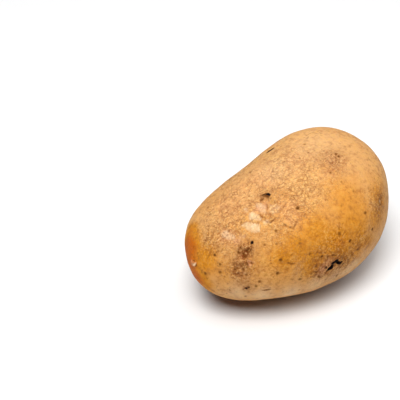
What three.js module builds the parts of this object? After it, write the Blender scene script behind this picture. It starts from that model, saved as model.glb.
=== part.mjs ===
// A potato, washed and lying on its flattest side. Millimetres, +Z up.
// The nose, where the eyes are closest, points to -X, and the stem end to +X.
// The origin is on the table, under the middle of the potato.

import * as THREE from "three";
import { mergeVertices } from "three/addons/utils/BufferGeometryUtils.js";

// Driving dimensions: a ball is stretched to these and then shaped.
const length = 102.5;
const width = 63;
const height = 57;
const fullness = 2.2; // 2 is an ellipsoid, and more fills out its shoulders
const taper = 0.13; // share by which the stem end is thicker and the nose thinner
const bend = 8.2; // how far both ends turn towards +Y
const pitch = 4; // degrees that the stem end lies higher than the nose
const roll = -2; // degrees turned about its length
const flatDepth = 0.5; // how deep the spot that it lies on is pressed flat
const detail = 23; // each face of the icosahedron is split this many times, plus one

// A place is two angles in degrees, seen from the middle of the potato:
// along runs from -90 at the nose to 90 at the stem end, and
// round from 0 on top through 90 on the +Y side to 180 underneath.

// Broad swellings of the ball, and flats where rise is below 0.
const lumpSpread = 22; // degrees
const lumps = [
  { along: -35, round: 65, rise: 2.2 },
  { along: -65, round: 100, rise: -1.0 },
  { along: -70, round: 135, rise: -0.6 },
  { along: -60, round: -165, rise: 0.7 },
  { along: -25, round: -140, rise: -1.1 },
  { along: 20, round: 40, rise: 1.3 },
  { along: 40, round: -90, rise: -0.6 },
  { along: 0, round: -45, rise: -0.7 },
  { along: 15, round: 115, rise: -0.9 },
  { along: 45, round: 165, rise: 0.8 },
];

// Eyes: a bud's hollow under a curved brow. Across is the brow's half width, and turn is
// its turn on the skin, 0 where it lies square across the potato and opens to the nose.
const eyes = [
  { along: -40, round: -3, across: 3.2, depth: 1.8, turn: 35 },
  { along: 31, round: -13, across: 4.4, depth: 0.9, turn: 30 },
  { along: -70, round: -40, across: 3.6, depth: 1.1, turn: 60 },
  { along: -74, round: -64, across: 3.4, depth: 0.7, turn: 40 },
  { along: 10, round: 76, across: 4, depth: 1.3, turn: -10 },
  { along: -30, round: 112, across: 3.8, depth: 1.4, turn: 5 },
  { along: 40, round: 132, across: 4.2, depth: 1.1, turn: 10 },
  { along: 24, round: -146, across: 4, depth: 1.2, turn: -5 },
  { along: -38, round: -158, across: 3.6, depth: 1.1, turn: 0 },
  { along: -60, round: 150, across: 3.2, depth: 0.9, turn: 10 },
];

// The rest of an eye, in shares of its half width.
const eyeShape = { brow: 0.4, hollow: 0.9, curve: 0.35, basin: 2.8 };

// And in shares of its depth.
const browHeight = 0.4;
const basinDepth = 0.5;

// The scar where the potato hung on its stem, with a rim.
const stemScar = { along: 39, round: -65, radius: 2.2, depth: 0.7, rim: 0.35 };

// A bud that stands out at the nose.
const noseBud = { along: -80, round: 95, radius: 1.3, height: 0.8 };

// A short split in the skin between raised lips.
const split = { along: -15, round: -94, reach: 3.4, halfWidth: 0.8, depth: 1, lip: 0.4, turn: 110 };

// The mesh is drawn closer together round each mark, by this share in its middle.
const crowding = { spread: 16, pull: 0.72 };
const markReach = 60; // degrees from a mark, past which it shapes nothing
const landingSteps = 30; // tries at finding the ball's direction for a place

const radians = THREE.MathUtils.degToRad;
const { smoothstep } = THREE.MathUtils;

const lie = new THREE.Matrix4()
  .makeRotationY(-radians(pitch))
  .multiply(new THREE.Matrix4().makeRotationX(radians(roll)));

function direction({ along, round }) {
  const a = radians(along);
  const r = radians(round);
  return new THREE.Vector3(Math.sin(a), Math.cos(a) * Math.sin(r), Math.cos(a) * Math.cos(r));
}

// 1 in the middle, falling smoothly to nearly 0 at twice the reach.
function hump(distance, reach) {
  return Math.exp(-((distance / reach) ** 2));
}

function boxOf(points) {
  return new THREE.Box3().setFromPoints(points);
}

// Where the ball's direction n lands on the grown potato, before it is set down.
function grown(n) {
  const powers = [n.x, n.y, n.z].map((value) => Math.abs(value) ** fullness);
  const size = (powers[0] + powers[1] + powers[2]) ** (-1 / fullness);
  const ball = n.clone().multiplyScalar(size);
  const thickness = 1 + taper * ball.x;
  const point = new THREE.Vector3(
    (length / 2) * ball.x,
    (width / 2) * ball.y * thickness + bend * (ball.x ** 2 - 1 / 3),
    (height / 2) * ball.z * thickness,
  );
  for (const lump of lumps) {
    const away = n.angleTo(direction(lump));
    point.addScaledVector(n, lump.rise * hump(away, radians(lumpSpread)));
  }
  return point.applyMatrix4(lie);
}

// The same for a ball that is stretched only, which gives the way the skin faces.
function outward(n) {
  return new THREE.Vector3(n.x / length, n.y / width, n.z / height).transformDirection(lie);
}

const ball = new THREE.IcosahedronGeometry(1, detail);
ball.deleteAttribute("normal");
ball.deleteAttribute("uv");
const geometry = mergeVertices(ball);
const corners = geometry.getAttribute("position");
const directions = Array.from({ length: corners.count }, (_, index) =>
  new THREE.Vector3().fromBufferAttribute(corners, index),
);

// Setting it down: the origin goes under its middle, and the flat spot to height 0.
const grownBox = boxOf(directions.map(grown));
const setDown = grownBox.getCenter(new THREE.Vector3()).negate();
setDown.z = -grownBox.min.z - flatDepth;
const middle = new THREE.Vector3(0, 0, (grownBox.max.z + setDown.z) / 2);

function form(n) {
  return grown(n).add(setDown);
}

// The ball's direction that lands in a wanted direction from the middle of the potato.
function landingIn(wanted) {
  const n = wanted.clone();
  for (let step = 0; step < landingSteps; step++) {
    const seen = form(n).sub(middle).normalize();
    n.add(wanted).sub(seen).normalize();
  }
  return n;
}

// A mark's place and its axes: out of the skin, ahead to its open side, and aside.
function placed(mark, relief) {
  const n = landingIn(direction(mark));
  const out = outward(n);
  const ahead = new THREE.Vector3(-1, 0, 0).projectOnPlane(out).normalize();
  ahead.applyAxisAngle(out, radians(mark.turn ?? 0));
  const aside = out.clone().cross(ahead);
  return { ...mark, relief, n, out, ahead, aside, at: form(n) };
}

function eyeRelief(eye, ahead, aside) {
  const brow = eyeShape.brow * eye.across;
  const behind = ahead - (eyeShape.curve * aside ** 2) / eye.across;
  const ridge = browHeight * hump(behind + brow, brow);
  const edge = smoothstep(behind, -brow / 3, brow);
  const hollow = edge * hump(Math.max(behind, 0), eyeShape.hollow * eye.across);
  const basin = basinDepth * hump(Math.hypot(ahead, aside), eyeShape.basin * eye.across);
  return eye.depth * (hump(aside, eye.across) * (ridge - hollow) - basin);
}

function scarRelief(scar, ahead, aside) {
  const away = Math.hypot(ahead, aside);
  const rim = scar.rim * hump(away - 1.3 * scar.radius, 0.5 * scar.radius);
  return rim - scar.depth * hump(away, scar.radius);
}

function budRelief(bud, ahead, aside) {
  return bud.height * hump(Math.hypot(ahead, aside), bud.radius);
}

function splitRelief(mark, ahead, aside) {
  const lips = mark.lip * hump(Math.abs(ahead) - 2 * mark.halfWidth, mark.halfWidth);
  const gap = mark.depth * hump(ahead, mark.halfWidth);
  return hump(aside, mark.reach) * (lips - gap);
}

const marks = [
  ...eyes.map((eye) => placed(eye, eyeRelief)),
  placed(stemScar, scarRelief),
  placed(noseBud, budRelief),
  placed(split, splitRelief),
];

function crowdTowards(n, mark) {
  const pull = crowding.pull * hump(n.angleTo(mark.n), radians(crowding.spread));
  return n.lerp(mark.n, pull).normalize();
}

function skin(n) {
  const plain = form(n);
  const point = plain.clone();
  for (const mark of marks) {
    if (n.angleTo(mark.n) < radians(markReach)) {
      const step = plain.clone().sub(mark.at);
      const rise = mark.relief(mark, step.dot(mark.ahead), step.dot(mark.aside));
      point.addScaledVector(outward(n), rise);
    }
  }
  point.z = Math.max(point.z, 0);
  return point;
}

const points = directions.map((n) => skin(marks.reduce(crowdTowards, n.clone())));
const centre = boxOf(points).getCenter(new THREE.Vector3());
points.forEach((point, index) => {
  corners.setXYZ(index, point.x - centre.x, point.y - centre.y, point.z);
});
geometry.computeVertexNormals();

const thinSkin = new THREE.MeshStandardMaterial({ color: 0xd9a25a, roughness: 0.55, metalness: 0 });
const potato = new THREE.Mesh(geometry, thinSkin);
potato.name = "potato";

const part = new THREE.Group();
part.add(potato);

export default part;
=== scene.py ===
# A washed potato that lies on a white table. Metres, +Z up.
import math
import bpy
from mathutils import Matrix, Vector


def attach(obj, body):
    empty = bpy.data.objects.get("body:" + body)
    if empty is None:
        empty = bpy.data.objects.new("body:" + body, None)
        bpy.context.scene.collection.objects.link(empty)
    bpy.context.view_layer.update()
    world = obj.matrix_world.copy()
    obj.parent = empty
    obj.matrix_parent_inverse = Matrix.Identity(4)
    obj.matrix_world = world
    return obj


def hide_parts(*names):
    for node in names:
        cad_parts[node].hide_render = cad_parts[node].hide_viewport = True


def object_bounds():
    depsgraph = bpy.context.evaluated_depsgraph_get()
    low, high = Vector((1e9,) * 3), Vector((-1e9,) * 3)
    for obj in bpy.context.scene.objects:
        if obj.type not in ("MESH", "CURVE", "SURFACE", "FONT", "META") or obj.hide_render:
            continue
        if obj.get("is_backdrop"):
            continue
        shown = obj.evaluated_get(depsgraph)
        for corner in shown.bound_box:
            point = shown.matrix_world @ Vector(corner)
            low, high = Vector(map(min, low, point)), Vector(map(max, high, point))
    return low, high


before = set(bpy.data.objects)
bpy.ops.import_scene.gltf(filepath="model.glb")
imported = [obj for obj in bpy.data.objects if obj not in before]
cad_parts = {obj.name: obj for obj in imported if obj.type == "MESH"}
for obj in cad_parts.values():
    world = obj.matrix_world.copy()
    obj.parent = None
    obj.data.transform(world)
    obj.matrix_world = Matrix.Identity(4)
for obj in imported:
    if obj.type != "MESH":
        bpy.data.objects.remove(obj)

from types import SimpleNamespace

import bmesh
import bpy
import numpy as np
from mathutils import Quaternion, Vector, noise
from mathutils.bvhtree import BVHTree

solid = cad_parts["potato"]
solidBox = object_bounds()
middle = (solidBox[0] + solidBox[1]) / 2
mm = 0.001

# The photo's view. Its pictures are 400 pixels square.
photo = {
    "azimuth": -43,  # degrees round the potato, 0 looks along +Y
    "elevation": 38,
    "distance": 0.5215,  # from the camera to the potato's middle
    "lens": 110,
    "sensor": 36,
    "pixels": 400,
    "middleAt": (294.7, 219.1),  # the pixel where the potato's middle shows
}


def viewAxes():
    turn = math.radians(photo["azimuth"])
    rise = math.radians(photo["elevation"])
    back = Vector((math.sin(turn) * math.cos(rise), -math.cos(turn) * math.cos(rise), math.sin(rise)))
    right = Vector((math.cos(turn), math.sin(turn), 0))
    return right, back.cross(right), back


right, up, back = viewAxes()
pixelSize = photo["distance"] * photo["sensor"] / photo["lens"] / photo["pixels"]


# How far a pixel lies from the picture's middle, in metres at the potato's distance.
def offCentre(pixel):
    half = photo["pixels"] / 2
    return (right * (pixel[0] - half) - up * (pixel[1] - half)) * pixelSize


def makeCamera():
    camera = bpy.data.objects.new("photoCamera", bpy.data.cameras.new("photoCamera"))
    bpy.context.scene.collection.objects.link(camera)
    camera.data.lens = photo["lens"]
    camera.data.sensor_width = photo["sensor"]
    camera.data.clip_start = 0.01
    camera.location = middle - offCentre(photo["middleAt"]) + back * photo["distance"]
    camera.rotation_mode = "QUATERNION"
    camera.rotation_quaternion = (-back).to_track_quat("-Z", "Y")
    bpy.context.scene.camera = camera
    return camera


camera = makeCamera()
print("camera in place")

# The skin's grid and how it follows the solid.
skinShape = {
    "cuts": 127,  # squares along each side of the cube that the grid starts as
    "rounding": 2,  # times the solid's facets are rounded before the grid is laid on it
    "relax": 6,  # times each point moves to the middle of its neighbours
    "crowdSpread": 11,  # degrees round a mark where the grid is drawn closer
    "crowdPull": 0.5,
    "facing": 4,  # mm round a mark, over which the way the skin faces is taken
    "spotReach": 25,  # mm from a mark, past which it shapes nothing
    "noMark": 99,  # mm, the distance kept where no wrinkles run
    "coarse": 0.28,  # mm, how strong the skin's large and middling lumps are
    "medium": 0.07,
    "flatGuard": (0.2, 1.5),  # mm above the table, between which relief fades in
}

# The eyes, as in the solid. Angles in degrees from the middle: along is -90 at the nose and
# 90 at the stem end, round is 0 on top and 90 on the far side. Across and depth are in mm.
# Stain is how brown the skin is round it, slit how deep its slit is and how dark its painted
# shade, and bud how far its buds stand out.
eyes = [
    {"along": -40, "round": -3, "turn": 35, "across": 3.2, "depth": 1.8,
     "stain": 0.3, "slit": 0, "bud": 0.3},
    {"along": 31, "round": -13, "turn": 30, "across": 4.4, "depth": 0.9,
     "stain": 0.24, "slit": 0, "bud": 0.5},
    {"along": -70, "round": -40, "turn": 60, "across": 3.6, "depth": 1.1,
     "stain": 0.35, "slit": 0, "bud": 0.3},
    {"along": -74, "round": -64, "turn": 40, "across": 3.4, "depth": 0.7,
     "stain": 0.6, "slit": 0, "bud": 0.6},
    {"along": 10, "round": 76, "turn": -10, "across": 4.0, "depth": 1.3,
     "stain": 0.15, "slit": 0.25, "bud": 1},
    {"along": -30, "round": 112, "turn": 5, "across": 3.8, "depth": 1.4,
     "stain": 0.5, "slit": 1, "bud": 1},
    {"along": 40, "round": 132, "turn": 10, "across": 4.2, "depth": 1.1,
     "stain": 0.4, "slit": 0.7, "bud": 1},
    {"along": 24, "round": -146, "turn": -5, "across": 4.0, "depth": 1.2,
     "stain": 0.5, "slit": 0.8, "bud": 1},
    {"along": -38, "round": -158, "turn": 0, "across": 3.6, "depth": 1.1,
     "stain": 0.4, "slit": 0.8, "bud": 1},
    {"along": -60, "round": 150, "turn": 10, "across": 3.2, "depth": 0.9,
     "stain": 0.5, "slit": 0.6, "bud": 1},
]
# The radius, rim, navel, petals, pit and reach of these are in mm, and the reach is how far
# fine wrinkles run round them.
stemScar = {"along": 39, "round": -65, "turn": 0, "radius": 1.5, "rim": 0.25, "navel": 0.3,
            "reach": 4, "wrinkles": 0.9}
noseBud = {"along": -80, "round": 95, "turn": 0, "radius": 1.3, "petals": 0.15, "pit": 0.35}
split = {"along": -15, "round": -94, "reach": 4.5, "wrinkles": 1.1}

marks = eyes + [stemScar, noseBud, split]

# What is kept at the skin's points for the material, from 0 to about 1. Rings is in mm: how
# far off the nearest mark is that wrinkles run round.
# Besides the skin's own colour, some of these hold painted light: painted shade in pits, slits, the
# split and underneath, a painted orange reflection at the nose, and painted bounce light along the
# lower edge with painted sheen on top.
masks = ("stain", "darkAndShade", "pale", "pink", "net", "brown", "gold", "flecked", "wrinkled", "rings")


# 1 in the middle, and nearly 0 at twice the reach.
def hump(distance, reach):
    return np.exp(-((distance / reach) ** 2))


def smoothStep(value, low, high):
    share = np.clip((value - low) / (high - low), 0, 1)
    return share * share * (3 - 2 * share)


def direction(mark):
    a, r = math.radians(mark["along"]), math.radians(mark["round"])
    return Vector((math.sin(a), math.cos(a) * math.sin(r), math.cos(a) * math.cos(r)))


# The solid with its facets rounded, in millimetres, ready to be hit by rays.
def roundedSolid():
    copy = bpy.data.objects.new("roundedSolid", solid.data.copy())
    bpy.context.scene.collection.objects.link(copy)
    shape = bmesh.new()
    shape.from_mesh(copy.data)
    bmesh.ops.remove_doubles(shape, verts=shape.verts, dist=0.001 * mm)
    shape.to_mesh(copy.data)
    shape.free()
    rounding = copy.modifiers.new("rounding", "SUBSURF")
    rounding.levels = skinShape["rounding"]
    rounded = copy.evaluated_get(bpy.context.evaluated_depsgraph_get()).to_mesh()
    corners = [v.co / mm for v in rounded.vertices]
    tree = BVHTree.FromPolygons(corners, [tuple(f.vertices) for f in rounded.polygons])
    bpy.data.objects.remove(copy)
    return tree


# A ball whose squares are all of much the same size, as directions and faces.
def ballGrid(cuts):
    steps = np.tan(np.linspace(-1, 1, cuts + 1) * math.pi / 4)
    u, v = np.meshgrid(steps, steps, indexing="ij")
    one = np.ones_like(u)
    sides = [(one, u, v), (-one, v, u), (v, one, u), (u, -one, v), (u, v, one), (v, u, -one)]
    points = np.concatenate([np.stack(side, -1).reshape(-1, 3) for side in sides])
    points /= np.linalg.norm(points, axis=1, keepdims=True)
    count = (cuts + 1) ** 2
    first = np.arange(count).reshape(cuts + 1, cuts + 1)
    corners = [first[:-1, :-1], first[1:, :-1], first[1:, 1:], first[:-1, 1:]]
    square = np.stack(corners, -1).reshape(-1, 4)
    faces = np.concatenate([square + count * side for side in range(len(sides))])
    _, kept, same = np.unique(points.round(6), axis=0, return_index=True, return_inverse=True)
    return points[kept], same.reshape(-1)[faces]


def unit(vectors):
    return vectors / np.linalg.norm(vectors, axis=-1, keepdims=True)


# Draws the grid's points closer together round every mark.
def crowd(ball, half):
    for mark in marks:
        centre = unit(np.array(direction(mark)) / half)
        away = np.degrees(np.arccos(np.clip(ball @ centre, -1, 1)))
        pull = skinShape["crowdPull"] * hump(away, skinShape["crowdSpread"])
        ball = unit(ball + (centre - ball) * pull[:, None])
    return ball


def neighbours(faces):
    edges = np.concatenate([faces[:, [k, (k + 1) % 4]] for k in range(4)])
    return np.unique(np.sort(edges, axis=1), axis=0)


# For each of so many points, the sum of the vectors that belong to it.
def summed(owners, vectors, count):
    return np.stack([np.bincount(owners, vectors[:, k], count) for k in range(3)], 1)


def relaxed(points, edges, rounds):
    a, b = edges.T
    counts = np.bincount(edges.ravel(), minlength=len(points))
    for _ in range(rounds):
        total = summed(a, points[b], len(points)) + summed(b, points[a], len(points))
        points = (points + total / counts[:, None]) / 2
    return points


def pointNormals(points, faces):
    corners = points[faces]
    across = np.cross(corners[:, 2] - corners[:, 0], corners[:, 3] - corners[:, 1])
    return unit(summed(faces.ravel(), np.repeat(across, 4, axis=0), len(points)))


def laySkin():
    tree = roundedSolid()
    half = np.array((solidBox[1] - solidBox[0]) / 2) / mm
    centre = middle / mm
    ball, faces = ballGrid(skinShape["cuts"])
    ball = crowd(ball, half)
    points = np.array([tree.ray_cast(centre, Vector(way))[0] for way in ball * half])
    points = relaxed(points, neighbours(faces), skinShape["relax"])
    values = {name: np.zeros(len(points)) for name in ("height", *masks)}
    values["rings"] += skinShape["noMark"]
    return SimpleNamespace(
        tree=tree,
        centre=centre,
        faces=faces,
        points=points,
        normals=pointNormals(points, faces),
        **values,
    )


skin = laySkin()
print("skin laid on the solid:", len(skin.points), "points")


# The place on the skin in a direction from its middle.
def placeTowards(way):
    return skin.tree.ray_cast(skin.centre, way)[0]


# Where a pixel of the photo falls on the skin.
def placeUnder(pixel):
    way = offCentre(pixel) - back * photo["distance"]
    return skin.tree.ray_cast(camera.location / mm, way)[0]


# How far each point of the skin is from a place, in mm.
def distanceFrom(place):
    return np.linalg.norm(skin.points - np.array(place), axis=1)


# Where each point of the skin lies from a mark: ahead, which is the mark's open side, aside,
# and how far away.
def spotOf(mark):
    place = placeTowards(direction(mark))
    away = distanceFrom(place)
    weight = hump(away, skinShape["facing"])
    out = Vector((skin.normals * weight[:, None]).sum(0)).normalized()
    ahead = Vector((-1, 0, 0))
    ahead = (ahead - out * ahead.dot(out)).normalized()
    ahead = Quaternion(out, math.radians(mark["turn"])) @ ahead
    step = skin.points - np.array(place)
    beyond = np.where(away > skinShape["spotReach"], 1000, 0)
    return SimpleNamespace(
        ahead=step @ np.array(ahead) + beyond,
        aside=step @ np.array(out.cross(ahead)),
        away=away,
    )


# Soft noise from -1 to 1 whose lumps are about this many millimetres wide.
def unevenness(size, seed):
    shift = Vector((seed * 13.7, seed * 5.1, seed * 9.3))
    return np.array([noise.noise(Vector(p) / size + shift) for p in skin.points])


coarse = unevenness(11, 1)
medium = unevenness(4, 2)
small = unevenness(1.6, 3)
fine = unevenness(0.9, 4)


def stainOver(name, amount):
    setattr(skin, name, np.maximum(getattr(skin, name), np.clip(amount, 0, 1.2)))


# Fine wrinkles run round the nearest mark, out to about this reach in mm.
def wrinkleRound(away, reach, strength):
    skin.rings = np.minimum(skin.rings, away)
    stainOver("wrinkled", strength * hump(away + 1.5 * medium + small, reach))


# How every eye is laid out.
eyeShape = {
    "bow": 0.35,  # how much the slit is bent
    "reach": 1.6,  # how far fine wrinkles run round it, as a share of its width
    "wrinkles": 0.25,  # and how strong they are
    # as shares of the eye's width: how far ahead of the slit, how long and how broad
    "slit": (0.02, 0.1, 0.6),
    "hollow": (0.4, 0.42, 0.85),
    "crest": (-0.3, 0.2, 0.9),
    # how far ahead and aside, how wide, and how high beside the first
    "buds": [(0.75, 0, 0.3, 1), (0.5, -0.62, 0.2, 0.5), (0.5, 0.62, 0.2, 0.5)],
    # as shares of the eye's depth
    "crestHeight": 0.12,
    "budHeight": 0.24,
    "cut": 0.6,
    "lip": 0.25,
    # in mm
    "wrinkleGap": 1.3,
    "wrinkleDepth": 0.05,
}


def carveEye(eye):
    spot = spotOf(eye)
    wide, deep = eye["across"], eye["depth"]
    behind = spot.ahead - eyeShape["bow"] * spot.aside**2 / wide

    def part(name):
        ahead, length, breadth = eyeShape[name]
        return hump(behind - ahead * wide, length * wide) * hump(spot.aside, breadth * wide)

    slit, hollow, crest = part("slit"), part("hollow"), part("crest")
    bud = 0
    for ahead, aside, size, high in eyeShape["buds"]:
        off = np.hypot(spot.ahead - ahead * wide, spot.aside - aside * wide)
        bud = bud + high * hump(off, size * wide)
    wrinkles = np.cos(2 * math.pi * (spot.away + 0.6 * small) / eyeShape["wrinkleGap"])
    wrinkles *= hump(spot.away - 0.9 * wide, 0.7 * wide)
    raised = eyeShape["crestHeight"] * crest + eyeShape["budHeight"] * eye["bud"] * bud
    cut = eyeShape["cut"] * slit + eyeShape["cut"] * hollow - eyeShape["lip"] * crest
    skin.height += deep * raised + eyeShape["wrinkleDepth"] * wrinkles
    skin.height -= deep * eye["slit"] * cut
    patch = hump(spot.away + 1.2 * medium + 0.8 * small, 1.25 * wide)
    stainOver("stain", eye["stain"] * patch * (0.75 + 0.6 * small))
    stainOver("brown", eye["slit"] * slit)
    # painted shade: the slit is darkened as well as cut
    stainOver("darkAndShade", 0.45 * eye["slit"] * slit)
    wrinkleRound(spot.away, eyeShape["reach"] * wide, eyeShape["wrinkles"])


for eye in eyes:
    carveEye(eye)
print("eyes carved:", len(eyes))


# How every stroke is drawn.
strokeShape = {
    "steps": 8,  # from each of its pixels to the next
    "tip": 0.12,  # the less, the thinner its ends
    "taper": 0.35,  # the less, the shorter they are
    "waver": 0.12,  # mm that its edges waver
}


# Points along a line through pixels of the photo.
def alongLine(through):
    corners = np.array(through, float)
    parts = zip(corners, corners[1:])
    steps = [np.linspace(a, b, strokeShape["steps"], endpoint=False) for a, b in parts]
    return np.vstack([*steps, corners[-1:]])


# Nearness to such a line: 1 on it, and less towards its two ends.
def nearLine(through, width):
    steps = alongLine(through)
    tip = strokeShape["tip"]
    ends = np.sin(np.linspace(tip, math.pi - tip, len(steps))) ** strokeShape["taper"]
    nearest = np.zeros(len(skin.points))
    for step, end in zip(steps, ends):
        away = distanceFrom(placeUnder(step)) + strokeShape["waver"] * fine
        nearest = np.maximum(nearest, end * hump(away, width * end))
    return nearest


# A stroke through pixels of the photo, with its width and depth in mm and the strengths of
# its colours. One of less depth than 0 stands out.
def stroke(*through, width, depth=0, brown=0, darkAndShade=0, pale=0):
    return dict(through=through, width=width, depth=depth, brown=brown, darkAndShade=darkAndShade, pale=pale)


def drawStroke(line):
    near = nearLine(line["through"], line["width"])
    skin.height -= line["depth"] * near
    for name in ("brown", "darkAndShade", "pale"):
        stainOver(name, line[name] * near)
    return near


# The split, by pixels of the photo.
splitLine = [
    (328.3, 270.4), (329.8, 268), (331.4, 266.9), (333, 265), (334.9, 263.2), (336.7, 261.2),
    (338.4, 263.2), (340.6, 263.3), (342.4, 261.7),
]

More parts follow.
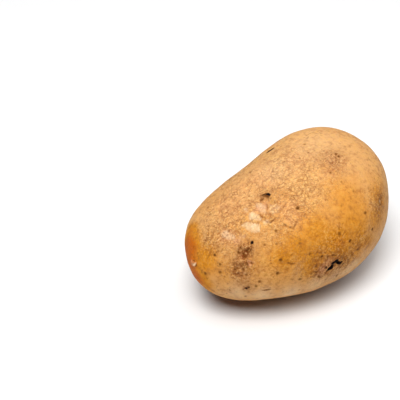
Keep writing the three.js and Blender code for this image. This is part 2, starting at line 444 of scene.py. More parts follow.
# Cuts, creases and dashes in the skin.
lines = [
    # the deep eye: its slit, black with painted shade, its hollow and the brown crease down from it
    stroke((261, 195.9), (263.2, 194.2), (265.8, 192.9), (267.6, 193.4), width=0.5, depth=0.5,
        brown=1, darkAndShade=0.55),
    stroke((265.9, 193.1), (268, 193.7), (269.9, 195), width=0.56, depth=0.6, brown=1, darkAndShade=1.6),
    stroke((262.2, 196.4), (264.8, 195.4), (267.6, 195.8), (269.2, 196.2), width=0.95, depth=0.35,
        brown=0.85, darkAndShade=0.22),
    stroke((263.6, 198.2), (261.6, 199.8), (260, 201), width=0.8, depth=0.12, brown=0.75),
    stroke((266.4, 197.6), (267, 200.6), width=0.9, depth=0.1, brown=0.35),
    stroke((258.6, 203.4), (256.8, 200.4), (257.6, 197.4), width=0.6, depth=-0.15),
    # the round crease of the lower eye
    stroke((249.4, 247.4), (248.2, 249.6), (246.4, 252), width=0.62, depth=0.3, brown=0.95,
        darkAndShade=0.14),
    stroke((251.2, 249.4), (249.4, 252), (247.2, 253.6), width=0.52, depth=0.2, brown=0.85),
    stroke((243, 252.6), (243.6, 254.6), (245.4, 255.2), width=0.58, depth=0.25, brown=0.95,
        darkAndShade=0.12),
    stroke((242.6, 257), (245.2, 257), (247.8, 254.8), width=0.55, depth=0.2, brown=0.9),
    stroke((237.2, 250.8), (238.6, 252.6), (240.2, 253.6), width=0.6, depth=0.25, brown=0.85),
    stroke((240.9, 244.8), (240.3, 248.4), (241, 250.4), width=0.55, depth=0.25, brown=0.7),
    stroke((248.8, 238.6), (248, 242), (248.6, 244.8), width=0.5, depth=0.12, brown=0.4),
    stroke((243.6, 248.2), (244.6, 250.2), width=0.5, depth=0.15, brown=0.55),
    stroke((245, 247.2), (246.4, 249.6), width=0.55, depth=-0.25),
    # the small eye below it, and the strokes round that
    stroke((246.6, 261.6), (247, 263.6), (248.2, 266), width=0.58, depth=0.22, brown=0.85),
    stroke((250.6, 262.2), (252, 264.2), width=0.58, depth=0.25, brown=0.95, darkAndShade=0.12),
    stroke((235.6, 261.4), (234, 264), (232.4, 265.8), width=0.52, depth=0.12, brown=0.5),
    stroke((234, 267.8), (236.2, 270.2), width=0.62, depth=0.15, brown=0.75),
    stroke((242.8, 268.4), (243.6, 271.2), width=0.68, depth=0.12, brown=0.65),
    stroke((242.2, 263), (242.6, 266.6), width=0.5, depth=0.1, brown=0.45),
    stroke((237.4, 272.4), (238.6, 275.2), width=0.52, depth=0.1, brown=0.55),
    stroke((247.4, 272.2), (246.4, 275), (246.2, 277.8), width=0.56, depth=0.12, brown=0.65),
    stroke((240.2, 275.4), (243.9, 276.6), width=0.52, depth=0.1, brown=0.55),
    stroke((236.4, 281.8), (241.2, 281.6), width=0.52, depth=0.1, brown=0.55),
    stroke((245, 281.6), (249.6, 281.2), width=0.62, depth=0.1, brown=0.55),
    stroke((238.9, 284.2), (238.3, 287.2), width=0.5, depth=0.08, brown=0.45),
    stroke((254.1, 267.2), (254.1, 271.6), width=0.7, depth=0.08, brown=0.3),
    # the split, jagged, and black partly with painted shade in the crack
    stroke(*splitLine[:4], width=0.84, depth=0.6, brown=1, darkAndShade=1.7),
    stroke(*splitLine[3:7], width=0.76, depth=0.35, brown=1, darkAndShade=1.7),
    stroke(*splitLine[5:], width=0.56, depth=0.4, brown=1, darkAndShade=1.6),
    stroke((331.2, 264.6), (334.4, 262), width=0.5, depth=0.4, brown=1, darkAndShade=0.8),
    stroke((325.9, 266.6), (326.9, 269.2), width=0.6, depth=0.3, brown=1, darkAndShade=0.5),
    stroke((343.9, 263), (342.9, 265.4), width=0.52, depth=0.3, brown=1, darkAndShade=0.45),
    stroke((327.6, 270.8), (326, 273), (324.6, 274.8), width=0.6, depth=0.25, brown=0.8),
    # folds and strokes round the split
    stroke((342.5, 256.5), (346.6, 260), (346.2, 264.6), (341.6, 267.8), width=0.6, depth=-0.3),
    stroke((348.5, 252.5), (351.5, 258), (350.6, 264), width=0.5, depth=-0.2),
    stroke((348.6, 257.6), (348.9, 261.4), (348, 264.4), width=0.5, depth=0.2, brown=0.6),
    stroke((351.6, 252.6), (353.4, 256.6), width=0.45, depth=0.2, brown=0.55),
    stroke((327.8, 259.2), (327.8, 256.8), (329.6, 255.6), width=0.52, depth=0.2, brown=0.85),
    stroke((331, 255.5), (334.2, 255.3), (336.6, 255.8), width=0.52, depth=0.2, brown=0.85),
    stroke((339.6, 256.2), (342.6, 256.8), (343.8, 259.2), width=0.6, depth=0.15, brown=0.6),
    stroke((316.4, 264.2), (316.2, 268.4), width=0.62, depth=0.2, brown=0.9),
    stroke((313.2, 271.2), (315.8, 272.4), (318.8, 272.4), width=0.52, depth=0.15, brown=0.8),
    stroke((314.2, 275.4), (316.8, 275), width=0.52, depth=0.12, brown=0.65),
    stroke((318.2, 276.2), (320.8, 278.4), width=0.6, depth=0.2, brown=0.95, darkAndShade=0.1),
    stroke((322.6, 275.4), (322.2, 278), width=0.5, depth=0.15, brown=0.6),
    stroke((318, 274), (325.5, 274.4), (332, 271.6), width=0.55, depth=-0.25),
    stroke((335.4, 276.2), (338.8, 274.6), width=0.62, depth=0.2, brown=0.85),
    stroke((332, 271.4), (334.6, 269), width=0.5, depth=0.15, brown=0.7),
    stroke((336.2, 270.4), (338.6, 266.8), width=0.5, depth=0.15, brown=0.7),
    stroke((339.4, 269.4), (341.6, 266.6), width=0.5, depth=0.15, brown=0.7),
    stroke((337.6, 272.6), (340.6, 271.6), width=0.5, depth=0.12, brown=0.55),
    stroke((345.2, 268.6), (347.2, 266.6), width=0.5, depth=0.12, brown=0.65),
    stroke((352, 243), (355, 244.6), width=0.5, depth=0.12, brown=0.55),
    stroke((355.2, 250.6), (357.6, 249.8), (359.9, 248.2), width=0.62, depth=0.15, brown=0.8),
    stroke((360.8, 244.4), (360.2, 247), width=0.52, depth=0.12, brown=0.6),
    stroke((366.6, 247.4), (368, 245.4), width=0.5, depth=0.12, brown=0.5),
    stroke((320.4, 258.2), (322.6, 260.6), width=0.5, depth=0.12, brown=0.5),
    stroke((309, 264.2), (312.4, 266.6), (313, 269), width=0.5, depth=0.12, brown=0.5),
    # a black line along the upper edge, cut in a little: painted shadow of a gap where another potato
    # touches it
    stroke((266.6, 152.7), (270.2, 150.1), (273.8, 147.8), width=0.5, depth=0.35, darkAndShade=2),
    # thin brown dashes
    stroke((261.8, 290.4), (267, 290.2), (271.2, 289.4), width=0.5, depth=0.12, brown=0.95),
    stroke((286.6, 262.3), (291, 263.8), (295.4, 263.6), width=0.5, depth=0.1, brown=0.85),
    stroke((278.2, 273.2), (283.8, 272.6), width=0.4, depth=0.08, brown=0.5),
    stroke((214.6, 254.8), (216.6, 252), (220.2, 250.2), width=0.45, depth=0.1, brown=0.55),
    stroke((243.2, 201.2), (248, 200.6), (249.8, 204), (249.4, 209), width=0.42, depth=0.15,
        brown=0.45),
    stroke((305.5, 184.6), (310, 185.4), (313.2, 184.2), width=0.45, depth=0.1, brown=0.45),
    # creases between the flakes
    stroke((262.8, 218), (266.4, 221.6), (270.6, 222.4), (276.2, 217.6), (281, 218.2), width=0.42,
        depth=0.16, brown=0.65),
    stroke((257.6, 214), (261.8, 216.6), (266.6, 218.4), width=0.42, depth=0.16, brown=0.6),
    stroke((282, 222), (286.4, 225.8), (293.4, 228.4), (296.6, 222.6), (291, 217.8), width=0.42,
        depth=0.16, brown=0.6),
    stroke((266.6, 202), (267.4, 208), (266.4, 214.6), width=0.42, depth=0.14, brown=0.5),
    stroke((288, 201), (283.4, 207), (279, 213.6), width=0.42, depth=0.14, brown=0.45),
]


def cutLines():
    splitPlaces = [placeUnder(pixel) for pixel in alongLine(splitLine)]
    away = np.min([distanceFrom(place) for place in splitPlaces], axis=0)
    wrinkleRound(away, split["reach"], split["wrinkles"])
    for line in lines:
        stainOver("stain", 0.8 * line["brown"] * drawStroke(line))


def growScar():
    spot = spotOf(stemScar)
    wide = stemScar["radius"]
    ring = hump(spot.away - wide + 0.15 * small, 0.28 * wide)
    skin.height += stemScar["rim"] * ring + stemScar["navel"] * hump(spot.away, 0.4 * wide)
    stainOver("brown", 0.75 * ring)
    stainOver("pale", hump(spot.away, 0.55 * wide))
    stainOver("stain", 0.3 * hump(spot.away + 1.5 * medium + small, 3 * wide) * (0.7 + small))
    stainOver("net", hump(spot.away + 2 * medium, 7))
    wrinkleRound(spot.away, stemScar["reach"], stemScar["wrinkles"])


# The bud's pale hook, its dark tip and its brown rim.
budLines = [
    stroke((192.6, 265.6), (194.2, 264.8), (195.8, 262.8), width=0.42, pale=1.2),
    stroke((191.4, 260.2), (191.2, 262.2), width=0.4, pale=0.6),
    stroke((192.6, 260.6), (194, 260.4), (194.8, 261.8), width=0.34, brown=0.9, darkAndShade=0.35),
    stroke((196.4, 263.6), (196.4, 265.4), (195, 267), width=0.42, brown=0.95, darkAndShade=0.1),
    stroke((193.4, 257.6), (195.4, 257.2), width=0.4, brown=0.5),
]


def growBud():
    spot = spotOf(noseBud)
    wide = noseBud["radius"]
    petals = noseBud["petals"] * np.cos(4 * np.arctan2(spot.aside, spot.ahead))
    petals *= hump(spot.away - 0.7 * wide, 0.4 * wide)
    skin.height += petals - noseBud["pit"] * hump(spot.away, 0.3 * wide)
    stainOver("pale", 0.42 * hump(spot.away + 0.4 * small + 0.3 * fine, 0.85 * wide))
    for line in budLines:
        drawStroke(line)


cutLines()
growScar()
growBud()
print("split, creases, stem scar and bud done")

# Marks that the photo shows: pixel, then radius in mm, then strength. The black ones are pits,
# darkened partly with painted shade.
pitDepth = 0.3  # mm
places = {
    "pale": [
        # Those along the lower edge, from (238, 293) to (363, 253), are painted bounce light from the
        # table; the two broad faint ones on top, at (315, 142) and (272, 170), are paler skin with a
        # painted sheen.
        ((225.5, 233), 1, 0.6), ((229.5, 236.5), 1.1, 0.6), ((232.4, 238.4), 0.9, 0.5),
        ((241, 236.5), 1.2, 0.4), ((238, 293), 5, 0.4), ((262, 295), 5, 0.5), ((290, 293), 5, 0.5),
        ((315, 285), 5, 0.4), ((336, 275.5), 4, 0.35), ((315, 142), 13, 0.17),
        ((272, 170), 9, 0.15), ((349, 269), 3.5, 0.5), ((355, 263.5), 3, 0.5),
        ((363, 253), 3.5, 0.3), ((343, 273), 2.4, 0.5),
    ],
    "black": [
        ((252, 242.6), 0.55, 1.6), ((337.6, 262.2), 0.6, 1.6), ((246.3, 288.5), 0.46, 1.3),
        ((248.8, 287.2), 0.36, 1), ((335.8, 153.8), 0.5, 0.3), ((338.8, 156.2), 0.45, 0.25),
        ((372.6, 229.2), 0.5, 0.6), ((350.2, 241), 0.6, 0.5), ((214.5, 255.2), 0.45, 0.4),
        ((330.6, 172.5), 0.5, 0.35), ((297.6, 208.2), 0.4, 0.4),
    ],
    "stain": [
        ((247.4, 288), 2.2, 0.75), ((243.5, 280), 2.2, 0.35), ((238, 268), 4.4, 0.7),
        ((243, 272), 3.6, 0.5), ((245, 249), 4.4, 0.6), ((244, 254.6), 2.8, 0.95),
        ((243, 262), 3.2, 0.5), ((244, 281), 3, 0.45), ((248.6, 250), 1.6, 0.7),
        ((282, 194.4), 1.6, 0.3), ((285.8, 195.6), 1.4, 0.45), ((335, 155), 3.2, 0.38),
        ((334, 166), 4.8, 0.28), ((322, 158), 4.6, 0.2), ((330, 265), 5.2, 0.4),
        ((322, 268), 4.2, 0.4), ((338, 257), 1.2, 0.6), ((349, 262), 4.2, 0.2),
        ((336, 275), 3, 0.4), ((318, 258), 5, 0.25), ((378, 212), 2.4, 0.1),
        ((266, 196), 2.2, 0.35), ((345, 250), 7, 0.12), ((215, 236), 6, 0.15),
        ((229, 290.6), 1.2, 0.5), ((300, 256), 6, 0.15),
    ],
    "pink": [
        ((228, 235), 3.4, 0.7), ((261.5, 207.5), 2.8, 0.9), ((236, 239), 2.4, 0.6),
        ((325, 267), 3.2, 0.8), ((249.4, 263.4), 1, 0.9), ((334, 163), 4.6, 0.35),
        ((330, 172), 3.4, 0.25), ((286, 208), 5, 0.35), ((292, 214), 5, 0.3), ((232, 205), 9, 0.3),
        ((240, 190), 8, 0.25), ((245, 276), 3, 0.25), ((262, 178), 9, 0.25), ((300, 160), 8, 0.2),
    ],
    "net": [
        ((240, 195), 13, 1), ((222, 215), 11, 1), ((228, 236), 9, 0.8), ((262, 205), 12, 1),
        ((275, 225), 9, 0.8), ((290, 190), 10, 1), ((300, 205), 8, 0.8), ((275, 172), 12, 0.85),
        ((308, 178), 10, 0.8), ((310, 158), 12, 0.55), ((333, 163), 7, 0.9), ((285, 158), 9, 0.7),
        ((342, 266), 10, 1), ((322, 264), 9, 0.9), ((378, 205), 7, 1), ((240, 270), 6, 0.9),
        ((205, 238), 8, 0.7), ((362, 248), 9, 0.8), ((250, 287), 5, 0.5), ((300, 262), 8, 0.5),
    ],
    "gold": [
        # The strong ones at the nose, (203, 260), (190, 262), (188, 248), (197, 277) and (190, 232),
        # are a painted orange reflection and shade, as from another potato lying against it; the others
        # deepen the skin's gold.
        ((228, 225), 20, 0.45), ((275, 212), 20, 0.35), ((340, 243), 10, 1.3),
        ((364, 245), 7, 1.2), ((330, 165), 8, 0.4), ((352, 228), 18, 0.92), ((325, 238), 18, 0.85),
        ((355, 235), 14, 0.95), ((300, 248), 12, 0.85), ((275, 265), 12, 0.65),
        ((255, 272), 10, 0.6), ((217, 270), 12, 0.55), ((318, 230), 13, 0.95),
        ((378, 195), 9, 0.75), ((375, 218), 8, 0.85), ((285, 259), 9, 0.9), ((315, 263), 8, 1.1),
        ((345, 205), 15, 0.6), ((203, 260), 9.5, 1.05), ((190, 262), 8, 2), ((188, 248), 8, 2.1),
        ((197, 277), 7.5, 2), ((190, 232), 5, 1.4),
    ],
    "flecked": [
        ((335, 248), 10, 0.8), ((345, 260), 7, 1), ((322, 268), 7, 1), ((362, 240), 7, 0.8),
        ((240, 270), 6, 1), ((245, 250), 4, 1), ((335, 160), 5, 0.9), ((310, 165), 6, 0.35),
        ((300, 195), 8, 0.35), ((378, 205), 6, 0.5), ((250, 288), 3, 0.7), ((215, 240), 8, 0.75),
        ((205, 235), 5, 0.5), ((226, 228), 7, 0.6), ((290, 262), 8, 0.4), ((270, 272), 9, 0.45),
        ((232, 215), 8, 0.4),
    ],
}

# Pale flakes of skin, by their corners in the photo, and how they stand out, in mm.
flakeShape = {"raised": 0.1, "edge": 0.08}
flakes = [
    {"corners": [(248.4, 213.4), (254, 210.6), (257.8, 214.4), (262.6, 217.4), (260.8, 221),
        (249, 219.8)], "amount": 0.62},
    {"corners": [(240.6, 225.4), (246.6, 221.9), (252.5, 222.6), (260, 224.4), (260.4, 231.4),
        (253.8, 233.4), (247.4, 229.4)], "amount": 0.72},
    {"corners": [(255.2, 203.6), (260, 202.6), (266, 206), (266.2, 213), (261, 212.4),
        (257, 208.6)], "amount": 0.45},
    {"corners": [(243, 208.6), (247.4, 207), (248.6, 212), (244.6, 213.6)], "amount": 0.35},
    {"corners": [(269, 205), (276, 203.4), (281, 208), (275, 214.6), (268.6, 213)],
     "amount": 0.25},
    {"corners": [(262, 221), (268, 219.4), (271, 223), (263.6, 225.4)], "amount": 0.4},
    {"corners": [(224, 231), (228.6, 230.4), (229.6, 235), (225.6, 236.4)], "amount": 0.5},
    {"corners": [(230.4, 234), (235, 235), (235.6, 239), (231.4, 239.4)], "amount": 0.45},
]


# Each mark of a name as the distances from it, its radius and its strength.
def marksOf(name):
    for pixel, radius, strength in places[name]:
        yield distanceFrom(placeUnder(pixel)), radius, strength


def markPlaces():
    # painted shade in part: the pits are darkened as well as sunk
    for away, radius, strength in marksOf("black"):
        near = hump(away + 0.15 * fine, radius)
        skin.height -= pitDepth * near
        stainOver("darkAndShade", strength * near)
        stainOver("brown", hump(away + 0.2 * fine, 1.4 * radius))
    for name in ("stain", "pink", "pale", "flecked"):
        for away, radius, strength in marksOf(name):
            stainOver(name, strength * hump(away + 1.3 * medium + 0.9 * small, radius))
    uneven = 1.5 * coarse + 0.7 * medium
    for away, radius, strength in marksOf("net"):
        skin.net = 1 - (1 - skin.net) * (1 - strength * hump(away + uneven, radius))
    for away, radius, strength in marksOf("gold"):
        skin.gold = np.maximum(skin.gold, strength * hump(away + uneven, radius))


# The skin points as pixels of the photo.
def asPixels():
    step = skin.points * mm - np.array(camera.location)
    scale = photo["lens"] / photo["sensor"] * photo["pixels"] / -(step @ np.array(back))
    half = photo["pixels"] / 2
    return np.stack([half + step @ np.array(right) * scale, half - step @ np.array(up) * scale], 1)


def peelFlakes():
    pixels = asPixels()
    seen = skin.normals @ np.array(back) > 0
    pixels += 0.5 * np.stack([small + fine, fine - small], 1)
    for flake in flakes:
        corners = np.array(flake["corners"])
        centre = corners.mean(0)
        inside = np.full(len(pixels), np.inf)
        for a, b in zip(corners, np.roll(corners, -1, axis=0)):
            across = np.array([b[1] - a[1], a[0] - b[0]]) / np.linalg.norm(b - a)
            across *= np.sign((centre - a) @ across)
            inside = np.minimum(inside, (pixels - a) @ across)
        patch = smoothStep(inside, -1.0, 1.3) * seen
        edge = hump(inside, 0.8) * seen * (inside > -3)
        skin.height += flakeShape["raised"] * patch - flakeShape["edge"] * edge
        stainOver("pale", flake["amount"] * patch * (0.95 + 0.7 * small + 0.4 * fine))
        stainOver("stain", 0.3 * edge * (0.5 + fine))


markPlaces()
peelFlakes()
print("seen marks done")

# Pores: the bold and faint ones in the photo, by pixel, and others scattered over the rest.
pores = {
    "bold": [
        (277.6, 273.2), (259.6, 281.4), (256.4, 286.1), (310.1, 254), (322, 256.5), (350.2, 241),
        (372.7, 229.2), (297.7, 208), (276.2, 230.8), (300, 279.2), (365.3, 213), (220, 272.2),
        (205.4, 273.6), (280.6, 259.8), (339.5, 233.7), (316, 267), (214.5, 255.2), (220, 264.2),
    ],
    "faint": [
        (291.6, 255), (316.8, 252), (341.2, 206), (360.5, 172.3), (217.8, 263.4), (210, 214.5),
        (271, 263.3), (330.6, 172.5), (345.5, 271.3), (336.7, 276.5), (310.8, 229.7), (341.5, 182),
        (374.6, 183), (318.3, 189), (317.7, 131.5), (373, 165.5), (230, 290.5), (264.8, 244.6),
        (211.1, 248.9), (228.7, 231), (241.3, 222.4), (316.5, 223.4), (300, 243), (282.3, 194.6),
        (327.4, 271), (224.8, 276.5),
    ],
    "count": 220,
    "radius": (0.4, 0.9),  # mm
    "strength": (0.3, 0.8),
    "raised": 0.08,  # mm round a pore
    "sunk": 0.16,  # mm in it
    "clear": 7,  # mm, the most that scattered ones keep apart
    "spread": (1.8, 1.1, 1),  # the potato's proportions, so that they spread evenly
    "seed": 5,
}


def addPore(place, radius, strength):
    away = distanceFrom(place) + 0.22 * fine + 0.1 * small
    skin.height += pores["raised"] * hump(away, 1.6 * radius)
    skin.height -= pores["sunk"] * hump(away, 0.7 * radius)
    stainOver("brown", strength * hump(away, radius))


def addPores():
    random = np.random.default_rng(pores["seed"])
    low, high = pores["radius"]
    made = [placeUnder(pixel) for pixel in pores["bold"] + pores["faint"]]
    for place in made[: len(pores["bold"])]:
        addPore(place, random.uniform(0.8, 1) * high, random.uniform(0.85, 1.15))
    for place in made[len(pores["bold"]) :]:
        addPore(place, random.uniform(0.55, 0.75) * high, random.uniform(0.5, 0.75))
    for way in unit(random.normal(size=(pores["count"], 3))):
        place = placeTowards(Vector(way * pores["spread"]))
        radius = random.uniform(low, high)
        strength = random.uniform(*pores["strength"])
        room = random.uniform(0.2, 1)
        if min(np.linalg.norm(np.array(made) - place, axis=1)) > pores["clear"] * room:
            made.append(place)
            addPore(place, radius, strength)
    return len(made)


print("pores:", addPores())

# Netted patches on the sides that the photo doesn't show, with radii in mm.
farNets = [
    {"along": -20, "round": 60, "radius": 14},
    {"along": 45, "round": 100, "radius": 12},
    {"along": -50, "round": 140, "radius": 12},
    {"along": 20, "round": -160, "radius": 15},
    {"along": 75, "round": 60, "radius": 10},
]

# Where the painted orange reflection and shade at the nose goes on round it, on the side turned from
# the camera, so that it fades there.
farBounceGold = [
    {"along": -70, "round": 110, "radius": 20, "strength": 1.3},
    {"along": -52, "round": 150, "radius": 18, "strength": 0.8},
    {"along": -60, "round": -160, "radius": 16, "strength": 0.9},
]


# 1 where the skin faces away from the photo, and 0 up to this start.
def hiddenFrom(start):
    return smoothStep(-(skin.normals @ np.array(back)), start, 0.3)


def addFarBounceGold():
    hidden = hiddenFrom(-0.1)
    skin.gold = np.minimum(skin.gold, 2.2 - 1.1 * hidden)  # less orange there
    for gold in farBounceGold:
        away = distanceFrom(placeTowards(direction(gold)))
        patch = gold["strength"] * hump(away + 1.5 * coarse + medium, gold["radius"])
        skin.gold = np.maximum(skin.gold, patch * hidden)


# Painted shade: the skin underneath, on the side turned from the camera, is darkened with the stain
# brown.
def addUndersideShade():
    underneath = smoothStep(-skin.normals[:, 2] + 0.1 * medium, 0.6, 0.9)
    stainOver("stain", 0.85 * hiddenFrom(0) * underneath)


def roughen():
    for net in farNets:
        away = distanceFrom(placeTowards(direction(net)))
        stainOver("net", hump(away + 3 * coarse + 2 * medium, net["radius"]))
    wrinkled = small * (0.02 + 0.06 * skin.net) + 0.04 * skin.net * fine
    skin.height += skinShape["coarse"] * coarse + skinShape["medium"] * medium + wrinkled
    skin.height *= smoothStep(skin.points[:, 2], *skinShape["flatGuard"])


addFarBounceGold()
addUndersideShade()
roughen()
print("far side and fine relief done")


def buildSkin():
    points = skin.points + skin.normals * skin.height[:, None]
    points[:, 2] = np.maximum(points[:, 2], 0)
    mesh = bpy.data.meshes.new("potatoSkin")
    mesh.from_pydata((points * mm).tolist(), [], skin.faces.tolist())
    for name in masks:
        mask = mesh.attributes.new(name, "FLOAT", "POINT")
        mask.data.foreach_set("value", getattr(skin, name).astype(np.float32))
    mesh.shade_smooth()
    piece = bpy.data.objects.new("potatoSkin", mesh)
    bpy.context.scene.collection.objects.link(piece)
    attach(piece, "root")
    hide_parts("potato")
    return piece


potatoSkin = buildSkin()
print("skin built:", len(potatoSkin.data.polygons), "faces")

# Colours of the skin as they look on a screen, and how its patterns are laid over each other.
skinLook = {
    "pale": "c6935a",
    # gold, and orange most of all, also paint the orange reflection and shade at the nose
    "gold": "c07a15",
    "orangeAndBounce": "b45a04",
    "light": "cf9b4c",
    "netBrown": "864f24",
    "netCream": "d6ab70",
    # also the painted shade underneath
    "stainBrown": "763816",
    # also painted shade in pits, slits and the split
    "blackAndShade": "120807",
    # also the painted bounce light along the lower edge and the painted sheen on top
    "creamAndBounce": "dec29a",
    "pinkTint": "cb8e66",
    "creaseBrown": "65380c",
    "fleckBrown": "7a4010",
    "roughness": 0.62,
    "shine": 0.08,
    "subsurface": 0.06,
    "depth": 2 * mm,  # how far light goes in
    "inside": (1.0, 0.4, 0.12),  # shares of that for red, green and blue
    "ringGap": 0.9,  # mm from one wrinkle to the next
    # the width of each noise's lumps in mm
    "size": {
        "broad": 16,
        "mottle": 2.4,
        "grain": 0.7,
        "freckle": 1.5,
        "freckled": 9,
        "patch": 3.0,
        "thinLine": 1.3,
        "wideLine": 3.4,
        "cell": 2.6,
        "swing": 2.5,
        "fleck": 1.0,
    },
    # how strongly each pattern colours what is under it
    "strength": {
        "light": 0.4,
        "mottle": 0.5,
        "freckle": 0.5,
        "cream": 0.75,
        "web": 0.75,
        "wrinkle": 0.65,
        "pink": 0.7,
        "fleck": 0.75,
        "gap": 0.45,
        "crease": 0.95,
    },
    # how high each pattern stands, in mm
    "bump": {"skin": 0.07, "net": 0.15, "web": -0.2, "wrinkle": -0.15, "stain": 0.15},
}


def screenColour(code):
    parts = [int(code[k : k + 2], 16) / 255 for k in (0, 2, 4)]
    linear = [p / 12.92 if p < 0.04045 else ((p + 0.055) / 1.055) ** 2.4 for p in parts]
    return (*linear, 1)


# A short way to place and join shader nodes.
class Shader:
    def __init__(self, name):
        self.material = bpy.data.materials.new(name)
        self.material.use_nodes = True
        self.tree = self.material.node_tree
        self.principled = self.tree.nodes["Principled BSDF"]
        self.place = self.tree.nodes.new("ShaderNodeTexCoord").outputs["Object"]

    def join(self, value, socket):
        if isinstance(value, bpy.types.NodeSocket):
            self.tree.links.new(value, socket)
        elif isinstance(value, str):
            socket.default_value = screenColour(value)
        else:
            socket.default_value = value

    def mask(self, name):
        node = self.tree.nodes.new("ShaderNodeAttribute")
        node.attribute_name = name
        return node.outputs["Fac"]

    # Noise whose lumps are about this many millimetres wide, as a number and as a colour.
    def noises(self, size, detail, roughness=0.5, place=None):
        node = self.tree.nodes.new("ShaderNodeTexNoise")
        self.join(place or self.place, node.inputs["Vector"])
        node.inputs["Scale"].default_value = 1 / (size * mm)
        node.inputs["Detail"].default_value = detail
        node.inputs["Roughness"].default_value = roughness
        return node.outputs

    def noise(self, *noise):
        return self.noises(*noise)["Fac"]

    # The place drawn out along the potato.
    def drawnOut(self, times):
        node = self.tree.nodes.new("ShaderNodeVectorMath")
        node.operation = "MULTIPLY"
        self.join(self.place, node.inputs[0])
        node.inputs[1].default_value = (1 / times, 1, 1)
        return node.outputs["Vector"]

    # How far a point is from the edge of cells about this many millimetres wide.
    def cellEdges(self, size, place):
        node = self.tree.nodes.new("ShaderNodeTexVoronoi")
        node.feature = "DISTANCE_TO_EDGE"
        self.join(place, node.inputs["Vector"])
        node.inputs["Scale"].default_value = 1 / (size * mm)
        return node.outputs["Distance"]

    # The place moved about by noise, so that patterns come out uneven.
    def shaken(self, size, amount, place=None):
        shift = self.tree.nodes.new("ShaderNodeVectorMath")
        shift.operation = "MULTIPLY_ADD"
        self.join(self.noises(size, 3)["Color"], shift.inputs[0])
        shift.inputs[1].default_value = (amount * mm,) * 3
        self.join(place or self.place, shift.inputs[2])
        return shift.outputs["Vector"]

    def ramp(self, value, low, high, toLow=0.0, toHigh=1.0):
        node = self.tree.nodes.new("ShaderNodeMapRange")
        node.interpolation_type = "SMOOTHSTEP"
        self.join(value, node.inputs["Value"])
        ends = {"From Min": low, "From Max": high, "To Min": toLow, "To Max": toHigh}
        for name, number in ends.items():
            node.inputs[name].default_value = number
        return node.outputs["Result"]

    def calc(self, operation, a, b=0.0):
        node = self.tree.nodes.new("ShaderNodeMath")
        node.operation = operation
        self.join(a, node.inputs[0])
        self.join(b, node.inputs[1])
        return node.outputs["Value"]

    def times(self, a, b):
        return self.calc("MULTIPLY", a, b)

    def plus(self, a, b):
        return self.calc("ADD", a, b)

    def mix(self, share, a, b):
        node = self.tree.nodes.new("ShaderNodeMix")
        node.data_type = "RGBA"
        self.join(share, node.inputs["Factor"])
        self.join(a, node.inputs[6])
        self.join(b, node.inputs[7])
        return node.outputs[2]

    # Joins a height in millimetres to the shader as bumps.
    def bumps(self, height):
        node = self.tree.nodes.new("ShaderNodeBump")
        node.inputs["Distance"].default_value = mm
        self.join(height, node.inputs["Height"])
        self.join(node.outputs["Normal"], self.principled.inputs["Normal"])


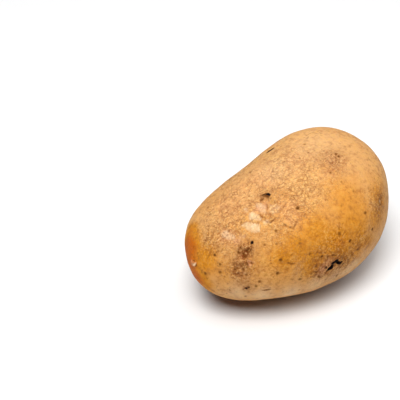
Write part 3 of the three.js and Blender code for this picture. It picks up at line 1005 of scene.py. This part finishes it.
def skinMaterial():
    look = skinLook
    size, strength, bump = look["size"], look["strength"], look["bump"]
    shader = Shader("potatoSkin")
    stain, darkAndShade, pale, pink, net, brown, gold, flecked, wrinkled, rings = map(shader.mask, masks)

    # the ground: pale, gold and orange, with a mottle and freckles
    broad = shader.noise(size["broad"], 3)
    mottle = shader.noise(size["mottle"], 5, 0.62)
    grain = shader.noise(size["grain"], 3, 0.6)
    # this mask also holds the painted orange reflection and shade at the nose, laid on here with gold
    # and orange
    depth = shader.plus(gold, shader.ramp(broad, 0.3, 0.7, -0.14, 0.14))
    colour = shader.mix(shader.ramp(depth, 0.0, 1.0), look["pale"], look["gold"])
    colour = shader.mix(shader.ramp(gold, 1.0, 1.9), colour, look["orangeAndBounce"])
    lit = shader.ramp(mottle, 0.48, 0.7, 0, strength["light"])
    lit = shader.times(lit, shader.ramp(gold, 0.9, 1.6, 1, 0.1))
    colour = shader.mix(lit, colour, look["light"])
    colour = shader.mix(shader.ramp(mottle, 0.52, 0.3, 0, strength["mottle"]), colour, look["netBrown"])
    freckled = shader.ramp(shader.noise(size["freckled"], 2), 0.36, 0.6, 0.1, strength["freckle"])
    freckles = shader.ramp(shader.noise(size["freckle"], 2, 0.6), 0.57, 0.7)
    colour = shader.mix(shader.times(freckles, freckled), colour, look["creaseBrown"])

    # the netting: wormy lines, where noise passes its middle, and cells with thin edges
    def worms(size, width, length=1):
        soft = shader.noise(size, 2, 0.5, shader.shaken(size, 0.5 * size, shader.drawnOut(length)))
        return shader.ramp(shader.calc("ABSOLUTE", shader.plus(soft, -0.5)), 0.0, width, 1, 0)

    patchy = shader.ramp(shader.noise(size["patch"], 3, 0.6), 0.36, 0.6)
    thin = shader.times(worms(size["thinLine"], 0.05, 1.9), shader.ramp(grain, 0.38, 0.62))
    wide = shader.times(worms(size["wideLine"], 0.03), patchy)
    edges = shader.cellEdges(size["cell"], shader.shaken(2.4, 1.8))
    edges = shader.times(shader.ramp(edges, 0.0, 0.12, 1, 0), patchy)
    webbed = shader.calc("MAXIMUM", shader.calc("MAXIMUM", thin, wide), edges)
    webbed = shader.times(webbed, shader.plus(shader.times(net, 0.85), 0.15))
    cream = shader.times(net, shader.ramp(gold, 0.4, 1.0, 1, 0.1))
    cream = shader.times(cream, shader.ramp(grain, 0.42, 0.66, 0, strength["cream"]))
    colour = shader.mix(cream, colour, look["netCream"])
    colour = shader.mix(shader.times(webbed, strength["web"]), colour, look["netBrown"])

    # wrinkles round the marks
    swing = shader.plus(rings, shader.ramp(shader.noise(size["swing"], 2), 0.2, 0.8, -0.7, 0.7))
    wave = shader.calc("SINE", shader.times(swing, 2 * math.pi / look["ringGap"]))
    rippled = shader.times(shader.ramp(wave, 0.1, 0.9), wrinkled)
    colour = shader.mix(shader.times(rippled, strength["wrinkle"]), colour, look["stainBrown"])

    # pink, pale and stained places, and flecks with pale gaps between them
    colour = shader.mix(shader.times(pink, strength["pink"]), colour, look["pinkTint"])
    # the pale mask also lays painted bounce light along the lower edge and painted sheen on top in this
    # cream
    creamAndBounceShare = shader.times(pale, shader.ramp(grain, 0.3, 0.7, 0.7, 0.95))
    colour = shader.mix(creamAndBounceShare, colour, look["creamAndBounce"])
    # the stain mask also holds the painted shade underneath
    speckle = shader.ramp(shader.plus(grain, mottle), 0.85, 1.12, 0.15, 1.25)
    colour = shader.mix(shader.times(stain, speckle), colour, look["stainBrown"])
    fleck = shader.noise(size["fleck"], 3, 0.7)
    flecks = shader.times(shader.ramp(fleck, 0.51, 0.62), flecked)
    gaps = shader.times(shader.ramp(fleck, 0.47, 0.37), flecked)
    colour = shader.mix(shader.times(flecks, strength["fleck"]), colour, look["fleckBrown"])
    colour = shader.mix(shader.times(gaps, strength["gap"]), colour, look["netCream"])

    # creases, and black spots over all, partly painted shade in pits, slits and the split
    creased = shader.ramp(brown, 0.05, 1.0, 0, strength["crease"])
    colour = shader.mix(creased, colour, look["creaseBrown"])
    colour = shader.mix(shader.ramp(darkAndShade, 0.1, 0.7), colour, look["blackAndShade"])
    shader.join(colour, shader.principled.inputs["Base Color"])

    rough = shader.ramp(grain, 0.3, 0.7, look["roughness"] - 0.08, look["roughness"] + 0.1)
    for mask, more in ((net, 0.06), (pale, -0.12), (darkAndShade, 0.2)):
        rough = shader.plus(rough, shader.times(mask, more))
    shader.join(rough, shader.principled.inputs["Roughness"])
    shader.principled.inputs["Specular IOR Level"].default_value = look["shine"]

    lumps = shader.plus(grain, shader.times(mottle, 1.5))
    height = shader.times(lumps, shader.plus(bump["skin"], shader.times(net, bump["net"])))
    height = shader.plus(height, shader.times(webbed, bump["web"]))
    height = shader.plus(height, shader.times(shader.plus(rippled, flecks), bump["wrinkle"]))
    height = shader.plus(height, shader.times(stain, shader.times(grain, bump["stain"])))
    shader.bumps(height)

    shader.principled.inputs["Subsurface Weight"].default_value = look["subsurface"]
    shader.principled.inputs["Subsurface Scale"].default_value = look["depth"]
    shader.principled.inputs["Subsurface Radius"].default_value = look["inside"]
    return shader.material


potatoSkin.data.materials.append(skinMaterial())
print("skin material done")

# The table, and the light round it. Sizes in metres, power in watts, and each light comes
# from its way towards the picture's right, up and the viewer.
studio = {
    "tableSize": 8.0,
    "tableDrop": 0.02 * mm,  # below the potato, so that the two don't share a plane
    "tableColour": "dcdcdc",
    "tableRoughness": 0.6,
    "surround": 0.06,
    "lights": {
        "keyLight": {"way": (-0.18, 0.44, 0.84), "away": 1.0, "size": 0.5, "power": 10.4},
        "topLight": {"way": (0.15, 0.788, 0.616), "away": 1.1, "size": 1.8, "power": 19.0},
    },
}


def makeTable():
    half = studio["tableSize"] / 2
    mesh = bpy.data.meshes.new("table")
    corners = [(x * half, y * half, 0) for x, y in ((-1, -1), (1, -1), (1, 1), (-1, 1))]
    mesh.from_pydata(corners, [], [(0, 1, 2, 3)])
    table = bpy.data.objects.new("table", mesh)
    table.location.z = -studio["tableDrop"]
    bpy.context.scene.collection.objects.link(table)
    shader = Shader("whiteTable")
    shader.join(studio["tableColour"], shader.principled.inputs["Base Color"])
    shader.principled.inputs["Roughness"].default_value = studio["tableRoughness"]
    mesh.materials.append(shader.material)
    table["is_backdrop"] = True


def makeLight():
    world = bpy.data.worlds.new("surround")
    world.use_nodes = True
    background = world.node_tree.nodes["Background"]
    background.inputs["Color"].default_value = (1, 1, 1, 1)
    background.inputs["Strength"].default_value = studio["surround"]
    bpy.context.scene.world = world
    for name, light in studio["lights"].items():
        lamp = bpy.data.objects.new(name, bpy.data.lights.new(name, "AREA"))
        lamp.data.energy = light["power"]
        lamp.data.size = light["size"]
        x, y, z = light["way"]
        way = (right * x + up * y + back * z).normalized()
        lamp.location = middle + way * light["away"]
        lamp.rotation_mode = "QUATERNION"
        lamp.rotation_quaternion = (-way).to_track_quat("-Z", "Y")
        bpy.context.scene.collection.objects.link(lamp)


makeTable()
makeLight()
bpy.context.scene.view_settings.view_transform = "Standard"
print("table and light done")

boxes = {"cad": solidBox, "visual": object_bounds()}
{name: [list(corner) for corner in box] for name, box in boxes.items()}
